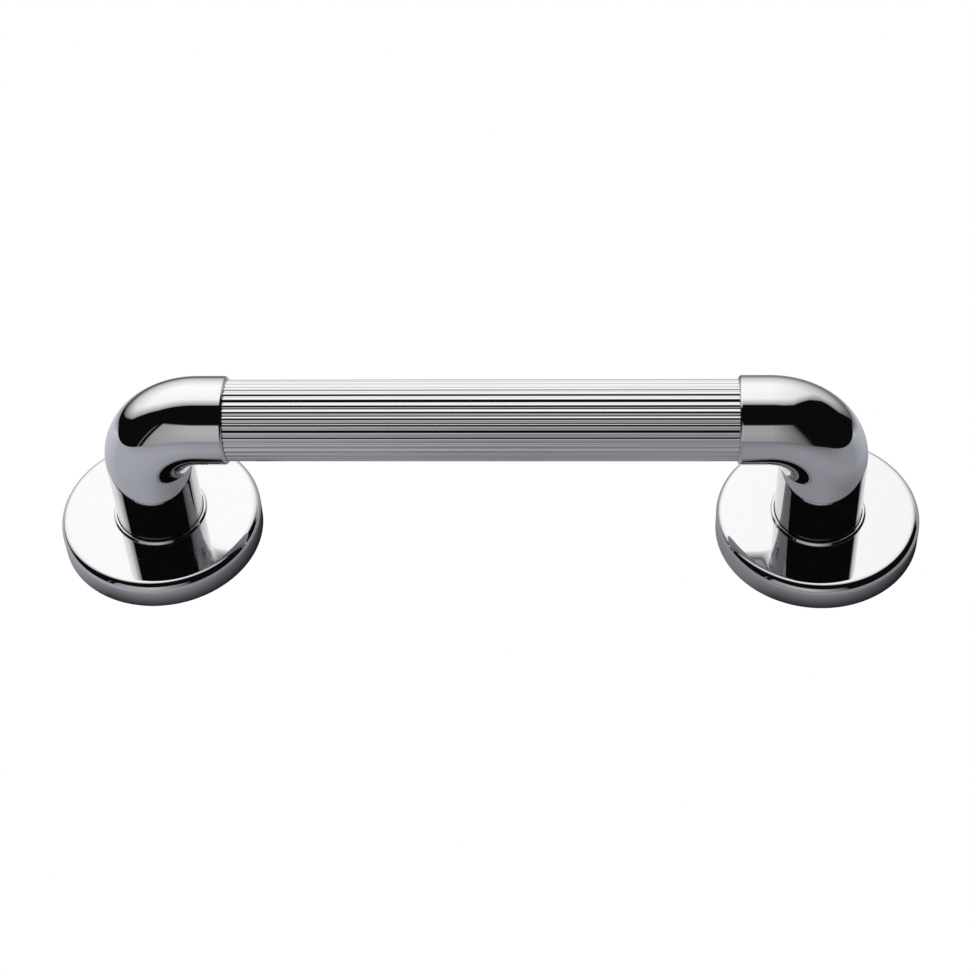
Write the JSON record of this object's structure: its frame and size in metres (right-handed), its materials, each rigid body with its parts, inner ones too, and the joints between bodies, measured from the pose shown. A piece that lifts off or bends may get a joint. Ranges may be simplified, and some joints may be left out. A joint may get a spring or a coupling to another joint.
{
  "type": "grab rail",
  "caption": "Wall-fixed grab rail: a reeded chrome tube between two elbows on round covers that slide up their posts to bare the screws.",
  "frame": {"origin": "on the wall plane, half way between the two posts", "axes": "+X along the tube, +Z straight out of the wall from the gaskets to the tube, +Y completes the right-handed set"},
  "size_m": [0.3824, 0.0896, 0.0919],
  "materials": {
    "reeded_chrome": "bright chrome plate over closely spaced rounded reeds",
    "elbow_chrome": "bright mirror chrome plate on a cast elbow",
    "cover_chrome": "bright mirror chrome plate on a pressed cover",
    "zinc_plated_steel": "bright zinc plate, fine brushed grain",
    "plated_screw": "satin stainless steel with turned marks",
    "white_nylon": "natural moulded nylon, slightly waxy",
    "black_rubber": "matt black moulded rubber",
    "foam_gasket": "closed-cell black foam rubber, skinned"
  },
  "bodies": {
    "root": {"fluted_tube": "reeded_chrome", "left_elbow": "elbow_chrome", "right_elbow": "elbow_chrome", "left_tube_seal": "black_rubber", "right_tube_seal": "black_rubber", "left_end_plug": "white_nylon", "right_end_plug": "white_nylon", "left_collar_screw": "plated_screw", "right_collar_screw": "plated_screw", "left_base_plate": "zinc_plated_steel", "right_base_plate": "zinc_plated_steel", "left_gasket": "foam_gasket", "right_gasket": "foam_gasket", "left_snap_ring": "white_nylon", "right_snap_ring": "white_nylon", "left_grub_screws": "plated_screw", "right_grub_screws": "plated_screw"},
    "left_ring": {"left_grip_ring": "black_rubber"},
    "left_cover": {"left_cover": "cover_chrome"},
    "right_ring": {"right_grip_ring": "black_rubber"},
    "right_cover": {"right_cover": "cover_chrome"}
  },
  "joints": [
    {"name": "left_cover_slide", "type": "slide", "parent": "root", "child": "left_ring", "axis": [0, 0, 1], "range_m": [0, 0.032]},
    {"name": "left_cover_turn", "type": "hinge", "parent": "left_ring", "child": "left_cover", "pos_m": [-0.1465, 0, 0.0095], "axis": [0, 0, 1], "continuous": true},
    {"name": "right_cover_slide", "type": "slide", "parent": "root", "child": "right_ring", "axis": [0, 0, 1], "range_m": [0, 0.032]},
    {"name": "right_cover_turn", "type": "hinge", "parent": "right_ring", "child": "right_cover", "pos_m": [0.1465, 0, 0.0095], "axis": [0, 0, 1], "continuous": true}
  ]
}
